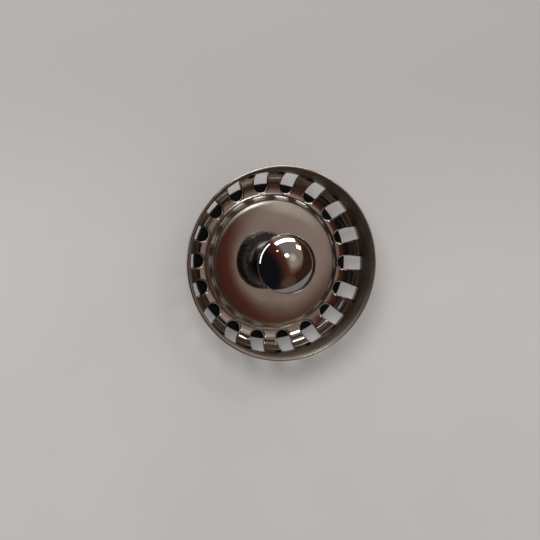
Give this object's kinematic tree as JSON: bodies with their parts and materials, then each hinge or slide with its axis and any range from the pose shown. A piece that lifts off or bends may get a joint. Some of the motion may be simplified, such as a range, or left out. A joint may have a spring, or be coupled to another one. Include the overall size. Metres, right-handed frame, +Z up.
{
  "type": "sink strainer",
  "caption": "Round slotted metal basket with a raised floor, a domed pull knob, a rubber stopper disc below and a ball-lock post, for a kitchen sink drain.",
  "frame": {"origin": "tip of the post, on the axis of the strainer", "axes": "+Z up along the axis from the post to the knob; one slot of the basket and both detent balls lie on the X axis"},
  "size_m": [0.0826, 0.0826, 0.0517],
  "materials": {
    "knob_cap": "bright plated",
    "knob_base": "bright plated",
    "knob_insert": "turned",
    "stud": "rolled thread",
    "bearing_bush": "turned",
    "basket": "polished stainless sheet",
    "backing_washer": "stamped",
    "stopper": "moulded, matt",
    "stopper_plate": "stamped",
    "lock_washer": "spring steel",
    "lock_post": "turned",
    "detent_spring": "drawn wire",
    "detent_ball_left": "ground",
    "detent_ball_right": "ground"
  },
  "bodies": {
    "stopper_unit": {"knob_cap": "knob_cap", "knob_base": "knob_base", "knob_insert": "knob_insert", "stud": "stud", "bearing_bush": "bearing_bush", "backing_washer": "backing_washer", "stopper": "stopper", "stopper_plate": "stopper_plate", "lock_washer": "lock_washer", "lock_post": "lock_post", "detent_spring": "detent_spring"},
    "basket": {"basket": "basket"},
    "ball_left": {"detent_ball_left": "detent_ball_left"},
    "ball_right": {"detent_ball_right": "detent_ball_right"}
  },
  "joints": [
    {"name": "basket_swivel", "type": "hinge", "parent": "stopper_unit", "child": "basket", "pos_m": [0, 0, 0.0264], "axis": [0, 0, 1], "continuous": true},
    {"name": "ball_left_travel", "type": "slide", "parent": "stopper_unit", "child": "ball_left", "axis": [1, 0, 0], "range_m": [0, 0.0006], "stiffness_N_per_m": 1500, "springref_m": -0.001, "deforming": ["detent_spring"]},
    {"name": "ball_right_travel", "type": "slide", "parent": "stopper_unit", "child": "ball_right", "axis": [-1, 0, 0], "range_m": [0, 0.0006], "stiffness_N_per_m": 1500, "springref_m": -0.001, "deforming": ["detent_spring"]}
  ],
  "couplings": [
    {"joint": "ball_right_travel", "follows": "ball_left_travel", "ratio": 1}
  ]
}
